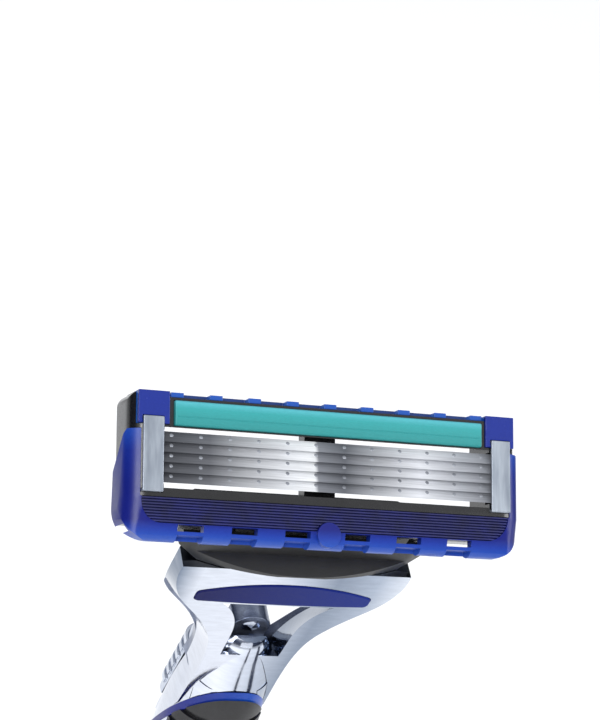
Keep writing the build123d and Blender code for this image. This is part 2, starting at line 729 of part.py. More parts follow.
def docking_head():
    z = (FORK_TOP - HEAD_ROOT, HEAD_TOP)
    shape = block((-HEAD_HALF, HEAD_HALF), (HEAD_FRONT, HEAD_BACK), z)
    shape = chamfer(shape.edges().group_by(Axis.Z)[-1], 0.5)
    bore = PLUNGER_RADIUS + PLUNGER_CLEAR
    return on_neck(shape - rod_z(bore, 0, HEAD_MIDDLE, (z[0] - 1, z[1] + 1)))


def plunger():
    foot, top = plunger_limits()
    shape = rod_z(PLUNGER_RADIUS, 0, HEAD_MIDDLE, (foot, top))
    shape += Pos(0, HEAD_MIDDLE, top) * Sphere(PLUNGER_RADIUS)
    flange = (foot - PLUNGER_TAIL, foot)
    shape += rod_z(PLUNGER_RADIUS + PLUNGER_FLANGE, 0, HEAD_MIDDLE, flange)
    return on_neck(shape)


def coil(radius, height, turns, bottom, y):
    """A compression spring standing on bottom, along the neck."""
    path = Helix(pitch=height / turns, height=height, radius=radius)
    start = path.location_at(0)
    wire = sweep(Plane(start) * Circle(WIRE_RADIUS), path=path, is_frenet=True)
    return on_neck(Pos(0, y, bottom) * wire)


def plunger_spring():
    top = plunger_limits()[0] - PLUNGER_TAIL - WIRE_RADIUS - FIT
    height = PLUNGER_SPRING - 2 * WIRE_RADIUS - FIT
    return coil(PLUNGER_RADIUS, height, 5, top - height, HEAD_MIDDLE)


# ---- Fork ----
# An arm's outer edge: shares of the way down the fork, and of the way out from the neck.
ARM_SHAPE = ((0.21, 0.95), (0.32, 0.83), (0.46, 0.565), (0.61, 0.285), (0.74, 0.115), (1.0, 0.0))


def arm_edge(drop=0.0, inset=0.0, start=0):
    """Points down one arm's outer edge, from wide apart at the top to the neck."""
    points = []
    for down, out in ARM_SHAPE[start:]:
        x = NECK_HALF + (FORK_HALF - NECK_HALF) * out - inset
        points.append((x, FORK_TOP + (NECK_TOP - FORK_TOP) * down - drop))
    return points


def both_sides(edges, top, low):
    """A face from the right half's edges, their mirror image, and the lines that join them."""
    mirrored = [edge.mirror(Plane.YZ) for edge in edges]
    lines = [Line((-top[0], top[1]), top), Line((-low[0], low[1]), low)]
    return make_face([*edges, *mirrored, *lines])


def fork_outline():
    top = (FORK_HALF, FORK_TOP)
    low = (NECK_HALF, NECK_BOTTOM)
    middle = (NECK_HALF, (NECK_TOP + NECK_BOTTOM) / 2)
    return both_sides([Spline(top, *arm_edge(), middle, low)], top, low)


def hole_front():
    """The hole where it opens in front: its sides are the arms' broad front faces."""
    span = HOLE_TOP_HALF - HOLE_LOW_HALF
    height = BAR_BOTTOM_Z - HOLE_BOTTOM
    shape = ((0.0, 1.0), (0.15, 0.5), (0.35, 0.17), (0.65, 0.03), (1.0, 0.0))
    points = [(HOLE_LOW_HALF + span * out, BAR_BOTTOM_Z - height * down) for down, out in shape]
    return both_sides([Spline(*points)], points[0], points[-1])


def hole_back():
    """The hole behind the arms, in line with the pusher's prongs."""
    edge = arm_edge(PRONG_DROP, ARM_THICK, 2)
    top = (edge[0][0] + 0.9, BAR_BOTTOM_Z - PRONG_DROP)
    low = (edge[-1][0] - 0.1, HOLE_BOTTOM - PRONG_DROP)
    return both_sides([Spline(top, *edge[:-1], low)], top, low)


def hole():
    front = Plane.XZ.offset(-FORK_FRONT) * hole_front()
    back = Plane.XZ.offset(-PRONG_BACK) * hole_back()
    return loft([front, back]) + along_y(hole_front(), (FORK_FRONT - 1, FORK_FRONT))


def skewed(face, depth):
    """Extrudes an outline from the fork's front along the arms' depth."""
    skew = radians(FORK_SKEW)
    base = Plane.XZ.offset(-FORK_FRONT) * face
    return extrude(base, amount=depth, dir=(0, cos(skew), -sin(skew)))


def ends_room():
    """The space that the fork's ends stay in: narrower behind than in front."""
    plan = (
        (-FORK_HALF - 1, FORK_FRONT - 1),
        (FORK_HALF + 1, FORK_FRONT - 1),
        (FORK_HALF + 1, FORK_FRONT + 1),
        (TIP_HALF, PRONG_BACK + FIT),
        (TIP_HALF, YOKE_BACK + 5),
        (-TIP_HALF, YOKE_BACK + 5),
        (-TIP_HALF, PRONG_BACK + FIT),
        (-FORK_HALF - 1, FORK_FRONT + 1),
    )
    bottom = 2 * NECK_BOTTOM
    return extrude(Plane.XY.offset(bottom) * polygon(plan), amount=-bottom)


def spigot():
    """The stub below the neck that stands in the handle."""
    return rod_z(SPIGOT_RADIUS, 0, SPIGOT_Y, (SPIGOT_BOTTOM, COLLAR_FRONT_Z - 4))


def front_plate_face(grow=0.0):
    half = PLATE_HALF + grow
    top = PLATE_TOP + grow
    bottom = PLATE_BOTTOM - grow
    end_top = PLATE_TOP - PLATE_SLOPE + grow
    end_low = bottom + 0.25
    right = Line((half, end_low), (half, end_top))
    left = Line((-half, end_low), (-half, end_top))
    upper = ThreePointArc((-half, end_top), (0, top), (half, end_top))
    lower = ThreePointArc((-half, end_low), (0, bottom), (half, end_low))
    face = make_face([upper, lower, left, right])
    return fillet(face.vertices(), PLATE_CORNER)


def fork_bar():
    """The top bar: square ends on the outline, and a deeper middle for the docking head."""
    wide = FORK_HALF + 1
    ends = block((-wide, wide), (FORK_FRONT - 1, FORK_BACK), (FORK_TOP - END_HEIGHT, FORK_TOP))
    shape = along_y(fork_outline(), (FORK_FRONT, FORK_BACK)) & ends
    half = HEAD_HALF + BAR_WALL
    bottom = BAR_BOTTOM_Z - PRONG_DROP / 2
    return shape + block((-half, half), (FORK_FRONT, HEAD_BACK + BAR_WALL), (bottom, FORK_TOP))


def above_button():
    """The space behind the neck that the pusher and the button slide in."""
    return block((-20, 20), (FORK_BACK, 20), (BUTTON_BOTTOM - SLIDE_GAP, 0))


def neck_root():
    """The round part above the collar, and the stub below it."""
    shape = NECK.location.inverse() * (handle_form() - collar_space(0))
    shape &= block((-20, 20), (-20, 20), (2 * NECK_BOTTOM, NECK_BOTTOM + ROOT_HEIGHT))
    shape += NECK.location.inverse() * spigot()
    return shape - above_button()


def neck_fork():
    shape = (skewed(fork_outline(), FORK_DEPTH) + fork_bar()) & ends_room()
    shape -= hole()
    shape = on_neck(shape)
    shape = rooted(shape) + on_neck(neck_root())
    shape -= on_neck(lobe(FIT)) - collar_space(0)
    shape -= trim_ring(FIT)
    cuts = block(
        (-CHANNEL_HALF, CHANNEL_HALF), (WEB_FRONT + WEB_THICK, YOKE_BACK), (CHANNEL_FLOOR, NOSE_TOP)
    )
    socket = (FORK_TOP - HEAD_ROOT, FORK_TOP + 1)
    wide = HEAD_HALF + FIT
    cuts += block((-wide, wide), (HEAD_FRONT - FIT, HEAD_BACK + FIT), socket)
    bore = PLUNGER_RADIUS + PLUNGER_FLANGE + FIT
    floor = plunger_limits()[0] - PLUNGER_TAIL - PLUNGER_SPRING
    cuts += rod_z(bore, 0, HEAD_MIDDLE, (floor, FORK_TOP))
    cuts += along_y(front_plate_face(FIT), (FORK_FRONT - 1, PLATE_BACK))
    return shape - on_neck(cuts) - lock_pin(FIT)


def front_plate():
    return on_neck(along_y(front_plate_face(), (FORK_FRONT - PLATE_PROUD, PLATE_BACK)))


# Sections of the nose-shaped cover: height, middle, half-width and half-depth.
LOBE_SECTIONS = (
    (-26.2, -0.9, 2.3, 2.5),
    (-27.0, -0.9, 2.9, 3.05),
    (-29.5, -0.9, 3.9, 3.85),
    (-32.5, -1.0, 4.8, 4.7),
    (-36.0, -1.4, 5.35, 5.3),
    (-40.0, -2.25, 5.4, 5.35),
)


def lobe(grow=0.0):
    """The nose between the neck's two ribs; its front is round, and its back is flat."""
    sections = []
    for z, y, wide, deep in reversed(LOBE_SECTIONS):
        sections.append(Pos(0, y, z) * Ellipse(wide + grow, deep + grow))
    half = LOBE_HALF + grow
    room = block((-half, half), (-20, WEB_FRONT), (2 * NECK_BOTTOM, LOBE_SECTIONS[0][0]))
    return loft(sections) & room


def neck_cover():
    return on_neck(lobe()) - collar_space(-2 * FIT)


# ---- Ejector ----
def pusher_outline():
    """The Y of the pusher, whose prongs carry on the arms' backs."""
    tip = FORK_TOP - EJECT_TRAVEL
    outer = arm_edge(PRONG_DROP, PRONG_INSET)
    inner = arm_edge(PRONG_DROP, ARM_THICK, 2)
    foot = (NECK_HALF - PRONG_INSET, STEM_BOTTOM)
    crotch = (NOSE_HALF - FIT, HOLE_BOTTOM - PRONG_DROP)
    top = (outer[0][0], tip)
    notch = (TIP_HALF - 2 * ARM_THICK, tip)
    edges = [
        Line(notch, top),
        Spline(top, *outer[:-1], foot),
        Line(foot, (0, foot[1])),
        Line((0, crotch[1]), crotch),
        Spline(crotch, *reversed(inner[:-1]), notch),
    ]
    return make_face([*edges, *[edge.mirror(Plane.YZ) for edge in edges]])


def nose_outline():
    shoulder = NOSE_TOP - NOSE_HALF * 0.6
    arc = ThreePointArc((-NOSE_HALF, shoulder), (0, NOSE_TOP), (NOSE_HALF, shoulder))
    sides = Polyline(
        (-NOSE_HALF, shoulder),
        (-NOSE_HALF, STEM_BOTTOM),
        (NOSE_HALF, STEM_BOTTOM),
        (NOSE_HALF, shoulder),
    )
    return make_face([arc, sides])


def ejector_pusher():
    prongs = along_y(pusher_outline(), (PRONG_FRONT, PRONG_BACK)) & ends_room()
    stem = along_y(nose_outline(), (WEB_FRONT + WEB_THICK + SLIDE_GAP, PRONG_BACK))
    return on_neck(prongs + stem)


def eject_button():
    front = PRONG_BACK
    back = front + BUTTON_THICK
    shape = block((-BUTTON_HALF, BUTTON_HALF), (front, back), (BUTTON_BOTTOM, BUTTON_TOP))
    shape = fillet(shape.edges().filter_by(Axis.Z).group_by(Axis.Y)[-1], BUTTON_ROUND)
    shape = fillet(shape.edges().filter_by(Axis.Y).group_by(Axis.Z)[-1], BUTTON_ROUND * 0.8)
    wide = BUTTON_HALF + RIDGE_HEIGHT / 2
    for index in range(RIDGE_COUNT):
        z = BUTTON_TOP - RIDGE_START - RIDGE_PITCH * index
        height = (z - RIDGE_WIDTH / 2, z + RIDGE_WIDTH / 2)
        ridge = block((-wide, wide), (front + RIDGE_HEIGHT, back + RIDGE_HEIGHT), height)
        corners = ridge.edges().filter_by(Axis.Z).group_by(Axis.Y)[-1]
        shape += fillet(corners, BUTTON_ROUND)
    return on_neck(shape)


def button_spring():
    height = STEM_BOTTOM - CHANNEL_FLOOR - 2 * WIRE_RADIUS - 2 * FIT
    middle = WEB_FRONT + WEB_THICK + FIT + BUTTON_SPRING_RADIUS + WIRE_RADIUS
    return coil(BUTTON_SPRING_RADIUS, height, 6, CHANNEL_FLOOR + WIRE_RADIUS + FIT, middle)


# ---- Handle ----
# Each station: share of the way down, the axis's Y, half-width and half-depth shares.
STATIONS = (
    (0.0, -4.5, 0.72, 0.5),
    (0.028, -4.15, 0.785, 0.71),
    (0.056, -3.9, 0.815, 0.82),
    (0.112, -3.85, 0.828, 0.848),
    (0.21, -3.0, 0.88, 0.9),
    (0.32, -1.2, 0.96, 0.97),
    (0.41, 0.0, 1.0, 1.0),
    (0.54, 0.3, 0.95, 0.96),
    (0.7, -1.2, 0.87, 0.86),
    (0.86, -4.0, 0.84, 0.76),
    (1.0, -6.8, 0.74, 0.6),
)


def handle_axis(share):
    """The axis's Y at a share of the way down, between stations."""
    for first, second in zip(STATIONS, STATIONS[1:]):
        if share <= second[0]:
            part = (share - first[0]) / (second[0] - first[0])
            return first[1] + (second[1] - first[1]) * part
    return STATIONS[-1][1]


def handle_form(grow=0.0):
    """The handle's rounded form, grown or shrunk by a skin's thickness."""
    sections = []
    for share, y, wide, deep in STATIONS:
        z = HANDLE_TOP + (HANDLE_BOTTOM - HANDLE_TOP) * share
        half = (HANDLE_HALF * wide + grow, HANDLE_DEEP * deep + grow)
        corner = HANDLE_ROUND * min(half)
        sections.append(Pos(0, y, z) * RectangleRounded(2 * half[0], 2 * half[1], corner))
    return loft(sections)


def collar_space(offset):
    """Everything below the sloping collar plane, moved down by an offset."""
    size = 400
    down = Pos(0, 0, -size / 2 - offset) * Box(size, size, size)
    return Pos(0, COLLAR_FRONT_Y, COLLAR_FRONT_Z) * Rot(-COLLAR_SLOPE, 0, 0) * down


def grip_outline(half, top, bottom):
    """A long pad with round ends, drawn as (X, Z)."""
    straight = Rectangle(2 * half, top - bottom - 2 * half)
    middle = (top + bottom) / 2
    ends = (top - bottom) / 2 - half
    shape = Pos(0, middle) * straight
    shape += Pos(0, middle + ends) * Circle(half)
    shape += Pos(0, middle - ends) * Circle(half)
    return shape


def front_pad_space():
    outline = grip_outline(GRIP_HALF, HANDLE_TOP + 2 * GRIP_HALF, GRIP_BOTTOM)
    pad = along_y(outline, (-30, PAD_BACK))
    pad = (pad - handle_form(-GRIP_DEPTH)) & collar_space(RING_THICK)
    return pad - neck_room()


def back_pad_space():
    outline = grip_outline(BACK_GRIP_HALF, BACK_GRIP_TOP, BACK_GRIP_BOTTOM)
    return along_y(outline, (0.5, 30)) - handle_form(-GRIP_DEPTH)


def grooves(top, bottom, y):
    shapes = []
    count = int((top - bottom) / GROOVE_PITCH)
    for index in range(count):
        z = top - GROOVE_PITCH * (index + 0.5)
        shapes.append(block((-20, 20), y, (z - GROOVE_WIDTH / 2, z + GROOVE_WIDTH / 2)))
    return shapes


def front_grip():
    pad = front_pad_space() & handle_form(GRIP_PROUD)
    cut = grooves(COLLAR_FRONT_Z - 3, GRIP_BOTTOM + 3, (-30, PAD_BACK))
    floor = handle_form(-0.1)
    for groove in cut:
        pad -= groove - floor
    return pad


def back_grip():
    pad = back_pad_space() & handle_form(GRIP_PROUD)
    cut = grooves(BACK_GRIP_TOP - 3, BACK_GRIP_BOTTOM + 3, (0.5, 30))
    floor = handle_form(-0.1)
    for groove in cut:
        pad -= groove - floor
    return pad


def trim_ring(grow=0.0):
    band = collar_space(-grow) - collar_space(RING_THICK + grow)
    return (handle_form(RING_PROUD) & band) - neck_room(grow)


def neck_room(grow=0.0):
    """The opening through the ring and the handle's top that the neck's root fills."""
    half = NECK_HALF + FIT - grow
    bottom = NECK_BOTTOM - ARM_DROP - 2 * FIT
    room = block((-half, half), (FORK_FRONT - FIT + grow, FORK_BACK + FIT - grow), (bottom, 0))
    return on_neck(room) & handle_form(-RING_WALL - grow)


def rooted(shape):
    """Trims the part of a neck piece that goes below the collar, so that the ring surrounds it."""
    below = collar_space(-2 * FIT)
    return (shape - below) + (shape & below & handle_form(-RING_WALL - FIT))


def tail_space():
    return block((-20, 20), (-30, 30), (HANDLE_BOTTOM - 1, HANDLE_BOTTOM + TAIL_HEIGHT))


def tail_peg(grow=0.0):
    y = handle_axis(0.94)
    low = HANDLE_BOTTOM + TAIL_HEIGHT - 1
    high = HANDLE_BOTTOM + TAIL_HEIGHT + TAIL_PEG_LENGTH + grow
    return rod_z(TAIL_PEG_RADIUS + grow, 0, y, (low, high))


def tail_cap():
    return (handle_form() & tail_space()) + tail_peg()


def lock_pin(grow=0.0):
    """The cross pin that holds the neck's stub in the handle, under the front pad."""
    front = SPIGOT_Y - SPIGOT_RADIUS - LOCK_PIN_GRIP - grow
    back = SPIGOT_Y + SPIGOT_RADIUS + LOCK_PIN_GRIP + grow
    pin = Rot(90, 0, 0) * Cylinder(LOCK_PIN_RADIUS + grow, back - front)
    return Pos(0, (front + back) / 2, LOCK_PIN_Z) * pin


def handle_body():
    shape = handle_form() & collar_space(RING_THICK)
    shape -= tail_space()
    shape -= front_pad_space()
    shape -= back_pad_space()
    shape -= neck_room()
    shape -= rod_z(SPIGOT_RADIUS + FIT, 0, SPIGOT_Y, (SPIGOT_BOTTOM - 4 * FIT, HANDLE_TOP))
    shape -= tail_peg(FIT)
    opening = along_y(Pos(0, LOCK_PIN_Z) * Circle(LOCK_PIN_RADIUS + FIT), (-30, SPIGOT_Y))
    return shape - lock_pin(FIT) - opening


def write(name, shape):
    export_step(shape, "parts/" + name + ".step")


def main():
    os.makedirs("parts", exist_ok=True)
    for index in range(BLADE_COUNT):
        write("blade_%d" % (index + 1), blade(index))
        write("blade_support_%d" % (index + 1), blade_support(index))
    write("clip_left", clip(-1))
    write("clip_right", clip(1))
    write("lubricating_strip", lubricating_strip())
    write("trimmer_comb", trimmer_comb())
    write("trimmer_blade", trimmer_blade())
    write("cartridge_housing", cartridge_housing())
    write("guard_frame", guard_frame())
    write("guard_fins", guard_fins())
    write("connecting_yoke", connecting_yoke())
    write("docking_head", docking_head())
    write("plunger", plunger())
    write("plunger_spring", plunger_spring())
    write("neck_fork", neck_fork())
    write("front_plate", front_plate())
    write("lock_pin", lock_pin())
    write("neck_cover", neck_cover())
    write("ejector_pusher", ejector_pusher())
    write("eject_button", eject_button())
    write("button_spring", button_spring())
    write("trim_ring", trim_ring())
    write("front_grip", front_grip())
    write("back_grip", back_grip())
    write("handle_body", handle_body())
    write("tail_cap", tail_cap())


main()
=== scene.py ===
import json
import math
import bpy
import bmesh
from mathutils import Matrix, Vector


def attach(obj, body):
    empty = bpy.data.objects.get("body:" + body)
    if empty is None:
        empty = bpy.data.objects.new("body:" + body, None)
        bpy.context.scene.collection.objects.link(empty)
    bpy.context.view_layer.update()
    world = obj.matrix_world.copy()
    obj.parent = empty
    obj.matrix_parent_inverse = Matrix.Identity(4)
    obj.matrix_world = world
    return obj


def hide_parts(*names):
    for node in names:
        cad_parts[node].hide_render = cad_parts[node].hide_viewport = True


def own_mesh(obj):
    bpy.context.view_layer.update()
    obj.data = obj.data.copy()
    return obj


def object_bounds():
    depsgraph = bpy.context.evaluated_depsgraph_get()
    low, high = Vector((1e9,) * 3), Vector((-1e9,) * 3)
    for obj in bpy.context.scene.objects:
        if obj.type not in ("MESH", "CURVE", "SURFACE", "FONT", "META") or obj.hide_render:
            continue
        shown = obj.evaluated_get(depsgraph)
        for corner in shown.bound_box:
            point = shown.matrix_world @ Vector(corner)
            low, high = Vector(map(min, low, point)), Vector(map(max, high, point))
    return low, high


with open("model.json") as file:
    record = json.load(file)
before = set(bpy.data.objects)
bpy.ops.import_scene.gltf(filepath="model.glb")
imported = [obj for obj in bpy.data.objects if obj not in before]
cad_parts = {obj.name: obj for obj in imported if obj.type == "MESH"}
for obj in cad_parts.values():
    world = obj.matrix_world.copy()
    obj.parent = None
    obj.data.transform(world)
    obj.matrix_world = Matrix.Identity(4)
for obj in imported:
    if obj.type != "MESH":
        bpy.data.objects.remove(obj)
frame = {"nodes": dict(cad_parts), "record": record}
cad_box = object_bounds()

# ---------- the frames that the pieces are made in ----------
MM = 0.001
FACE_ANGLE = math.radians(50.0)
NECK_ANGLE = math.radians(12.0)
FACE_ORIGIN = Vector((0.0, -10.0, 72.0))
FACE_UP = Vector((0.0, math.sin(FACE_ANGLE), math.cos(FACE_ANGLE)))
FACE_OUT = Vector((0.0, -math.cos(FACE_ANGLE), math.sin(FACE_ANGLE)))
NECK_BACK = Vector((0.0, math.cos(NECK_ANGLE), math.sin(NECK_ANGLE)))
NECK_UP = Vector((0.0, -math.sin(NECK_ANGLE), math.cos(NECK_ANGLE)))
ACROSS = Vector((1.0, 0.0, 0.0))

# Sizes of the CAD pieces, in millimetres, and the blades' number and tilt.
GUARD_LIMITS = (-7.55, 3.2)     # the blue frame's lower and upper ends, along the face
STRIP_LIMITS = (3.62, 6.1)      # the strip's lower and upper edges, along the face
STRIP_FACE = 0.3                # the strip's front, out from the blades' edges
COMB_DEPTH = (-3.6, 0.12)       # the comb's back and its foremost surface, out from the face
FORK_HALF = 12.5                # this half and the next three are half-widths, along X
PLATE_HALF = 9.7
RING_HALF = 5.4
BLADE_HALF = 18.8
BLADE_COUNT = 5
BLADE_PITCH = 1.0
BLADE_TILT = math.radians(25.0)


def at_face(x, v, w):
    """A point from the cartridge's own frame, in millimetres, as a point of the scene."""
    return (FACE_ORIGIN + ACROSS * x + FACE_UP * v + FACE_OUT * w) * MM


def at_neck(x, y, z):
    """A point from the neck's own frame, in millimetres, as a point of the scene."""
    return (FACE_ORIGIN + ACROSS * x + NECK_BACK * y + NECK_UP * z) * MM


def body_of(node):
    bodies = frame["record"]["behaviour"]["bodies"]
    return next(body for body, nodes in bodies.items() if node in nodes)


# ---------- materials ----------
BRUSHED = (0.25, 7.0, 7.0)      # grain that runs along X
FINE = (4.0, 4.0, 4.0)
UP_FACE = FACE_UP.dot(FACE_ORIGIN)
OUT_FACE = FACE_OUT.dot(FACE_ORIGIN)
NOISE_ROUGH = 0.55
FLECK_STOPS = (0.25, 0.75)      # where the grain is darkest and lightest
TONE_STOPS = (0.3, 0.7)         # where a mottled finish has its dark and its light shade
CLOUD_SCALE = 0.15              # a finish's slow change of shade, against its grain
ROUGH_SPREAD = (0.75, 1.3)      # least and most roughness, as shares of a finish's own
RELIEF_HEIGHT = 0.1             # millimetres
COAT_ROUGH = 0.08


def linear(red, green, blue):
    """A colour given as eight-bit display values, as the shader wants it."""
    values = (red / 255, green / 255, blue / 255)
    return tuple(c / 12.92 if c < 0.04045 else ((c + 0.055) / 1.055) ** 2.4 for c in values)


def new_material(name):
    material = bpy.data.materials.new(name)
    material.use_nodes = True
    tree = material.node_tree
    return material, tree, tree.nodes["Principled BSDF"]


def object_space(tree, scale):
    """Object coordinates in millimetres, stretched by a scale on each axis."""
    place = tree.nodes.new("ShaderNodeTexCoord")
    mapping = tree.nodes.new("ShaderNodeMapping")
    mapping.inputs["Scale"].default_value = [s / MM for s in scale]
    tree.links.new(place.outputs["Object"], mapping.inputs["Vector"])
    return mapping.outputs["Vector"]


def noise(tree, scale, detail=4.0):
    texture = tree.nodes.new("ShaderNodeTexNoise")
    texture.inputs["Scale"].default_value = 1.0
    texture.inputs["Detail"].default_value = detail
    texture.inputs["Roughness"].default_value = NOISE_ROUGH
    tree.links.new(object_space(tree, scale), texture.inputs["Vector"])
    return texture.outputs["Fac"]


def ramp(tree, factor, stops):
    """A colour ramp; each stop is a share and a colour."""
    node = tree.nodes.new("ShaderNodeValToRGB")
    elements = node.color_ramp.elements
    while len(elements) < len(stops):
        elements.new(0.5)
    for element, (share, colour) in zip(elements, stops):
        element.position = share
        element.color = (*colour, 1)
    tree.links.new(factor, node.inputs["Fac"])
    return node.outputs["Color"]


def gradient(tree, direction, start, end):
    """A share from 0 to 1 between two distances along a direction, in millimetres."""
    place = tree.nodes.new("ShaderNodeTexCoord")
    dot = tree.nodes.new("ShaderNodeVectorMath")
    dot.operation = "DOT_PRODUCT"
    dot.inputs[1].default_value = direction
    spread = tree.nodes.new("ShaderNodeMapRange")
    spread.inputs["From Min"].default_value = start * MM
    spread.inputs["From Max"].default_value = end * MM
    tree.links.new(place.outputs["Object"], dot.inputs[0])
    tree.links.new(dot.outputs["Value"], spread.inputs["Value"])
    return spread.outputs["Result"]


def times(tree, first, second):
    mix = tree.nodes.new("ShaderNodeMix")
    mix.data_type = "RGBA"
    mix.blend_type = "MULTIPLY"
    mix.inputs["Factor"].default_value = 1.0
    tree.links.new(first, mix.inputs["A"])
    tree.links.new(second, mix.inputs["B"])
    return mix.outputs["Result"]


def grey(value):
    return (value, value, value)


def surface(
    name, shades, rough, metal=0.0, along=None, grain=FINE,
    mottle=0.1, bump=0.02, coat=0.0, shine=0.5,
):
    """A finish: shades along a direction or in clouds, mottled and roughened by a grain."""
    material, tree, shader = new_material(name)
    fleck = noise(tree, grain)
    tone = ramp(tree, fleck, tuple(zip(FLECK_STOPS, (grey(1 - mottle), grey(1.0)))))
    if along:
        direction, start, end = along
        shade = ramp(tree, gradient(tree, direction, start, end), shades)
    else:
        cloud = noise(tree, [g * CLOUD_SCALE for g in grain], 2.0)
        shade = ramp(tree, cloud, shades)
    tree.links.new(times(tree, shade, tone), shader.inputs["Base Color"])
    spread = tree.nodes.new("ShaderNodeMapRange")
    spread.inputs["To Min"].default_value = rough * ROUGH_SPREAD[0]
    spread.inputs["To Max"].default_value = rough * ROUGH_SPREAD[1]
    tree.links.new(fleck, spread.inputs["Value"])
    tree.links.new(spread.outputs["Result"], shader.inputs["Roughness"])
    relief = tree.nodes.new("ShaderNodeBump")
    relief.inputs["Strength"].default_value = bump
    relief.inputs["Distance"].default_value = RELIEF_HEIGHT * MM
    tree.links.new(fleck, relief.inputs["Height"])
    tree.links.new(relief.outputs["Normal"], shader.inputs["Normal"])
    shader.inputs["Metallic"].default_value = metal
    shader.inputs["Specular IOR Level"].default_value = shine
    shader.inputs["Coat Weight"].default_value = coat
    shader.inputs["Coat Roughness"].default_value = COAT_ROUGH
    return material


def blade_steel():
    """Honed steel with a painted reflection, light and dark along each half of the blade."""
    shades = (
        (0.0, linear(58, 60, 66)),
        (0.16, linear(104, 106, 112)),
        (0.38, linear(226, 228, 232)),
        (0.455, linear(238, 240, 242)),
        (0.465, linear(132, 135, 142)),
        (0.54, linear(98, 101, 108)),
        (0.76, linear(226, 228, 233)),
        (0.88, linear(176, 179, 186)),
        (1.0, linear(104, 107, 114)),
    )
    along = (ACROSS, -BLADE_HALF, BLADE_HALF)
    return surface("steel", shades, 0.38, 0.35, along, BRUSHED, 0.3, 0.06)


def frame_plastic():
    """Blue plastic with painted highlights along the frame's foot and along its top."""
    shades = (
        (0.0, linear(34, 74, 160)),
        (0.1, linear(20, 48, 138)),
        (0.18, linear(10, 20, 104)),
        (0.5, linear(10, 22, 104)),
        (0.8, linear(12, 32, 118)),
        (1.0, linear(24, 60, 148)),
    )
    low, high = GUARD_LIMITS
    along = (FACE_UP, UP_FACE + low, UP_FACE + high)
    return surface("frame_blue", shades, 0.32, 0.0, along, FINE, 0.12, 0.03, shine=0.3)


def comb_plastic():
    """Blue plastic with painted shade at the back, a painted highlight nearer the front and darker
    on the foremost part.
    """
    shades = (
        (0.0, linear(4, 5, 28)),
        (0.6, linear(5, 9, 52)),
        (0.66, linear(24, 84, 176)),
        (0.86, linear(26, 92, 184)),
        (0.92, linear(7, 28, 112)),
        (1.0, linear(8, 34, 124)),
    )
    back, front = COMB_DEPTH
    along = (FACE_OUT, OUT_FACE + back, OUT_FACE + front)
    return surface("comb_blue", shades, 0.24, 0.0, along, FINE, 0.12, 0.03, 0.2, 0.35)


def strip_gel():
    # Lighter towards the strip's upper edge: a painted highlight from light falling from above.
    shades = ((0.0, linear(24, 124, 124)), (0.7, linear(32, 142, 143)), (1.0, linear(74, 166, 178)))
    low, high = STRIP_LIMITS
    along = (FACE_UP, UP_FACE + low, UP_FACE + high)
    return surface("strip", shades, 0.42, 0.0, along, (3.0, 9.0, 9.0), 0.14, 0.15)


def polished_neck():
    """Chrome with a painted reflection, bluer and darker right of the middle and at its left edge.
    """
    shades = (
        (0.0, linear(120, 132, 150)),
        (0.1, linear(206, 211, 221)),
        (0.4, linear(212, 216, 226)),
        (0.56, linear(176, 184, 198)),
        (0.7, linear(128, 139, 156)),
        (0.88, linear(160, 170, 186)),
        (1.0, linear(206, 212, 222)),
    )
    along = (ACROSS, -FORK_HALF, FORK_HALF)
    return surface("chrome", shades, 0.12, 1.0, along, (0.5, 0.5, 2.5), 0.16, 0.03)


def two_tone(name, dark, light, rough, **more):
    shades = tuple(zip(TONE_STOPS, (linear(*dark), linear(*light))))
    return surface(name, shades, rough, **more)


def sideways(name, left, right, rough, half, **more):
    shades = ((0.0, linear(*left)), (1.0, linear(*right)))
    return surface(name, shades, rough, along=(ACROSS, -half, half), **more)


# Finishes of two mottled shades: dark, light, roughness and what else differs.
TWO_TONES = {
    "support_steel": ((120, 123, 130), (160, 164, 172), 0.35, {"metal": 0.4, "grain": BRUSHED}),
    "clip_metal": ((128, 136, 148), (172, 180, 190), 0.34, {"metal": 0.6, "grain": (7, 1, 1)}),
    "housing": ((7, 7, 9), (15, 15, 18), 0.25, {"coat": 0.3}),
    "fins": ((5, 9, 64), (9, 18, 92), 0.5, {"bump": 0.05}),
    "yoke_black": ((7, 7, 9), (15, 15, 18), 0.35, {"bump": 0.12}),
    "chrome_button": ((170, 178, 194), (206, 212, 224), 0.14, {"metal": 1.0}),
    "grip_black": (
        (8, 8, 10), (20, 20, 24), 0.42, {"grain": (6, 6, 6), "mottle": 0.3, "bump": 0.25},
    ),
    "pusher_grey": ((96, 104, 124), (140, 148, 168), 0.2, {"metal": 0.8}),
    "spring_steel": ((130, 132, 136), (170, 172, 176), 0.3, {"metal": 1.0}),
    "tail_chrome": ((150, 156, 170), (186, 190, 202), 0.13, {"metal": 1.0, "grain": (1, 1, 0.3)}),
}
LOOKS = {
    "steel": blade_steel(),
    "strip": strip_gel(),
    "frame_blue": frame_plastic(),
    "comb_blue": comb_plastic(),
    "chrome": polished_neck(),
    # The plate and the ring are darker on the left and lighter on the right: painted shade and
    # painted light across each part.
    "plate_blue": sideways("plate_blue", (8, 12, 70), (12, 34, 112), 0.45, PLATE_HALF, shine=0.12),
    "ring_blue": sideways("ring_blue", (22, 26, 112), (8, 72, 164), 0.3, RING_HALF, shine=0.3),
}
for name, (dark, light, rough, more) in TWO_TONES.items():
    LOOKS[name] = two_tone(name, dark, light, rough, **more)
slots = {part["node"]: part["material_slot"] for part in frame["record"]["subparts"]}

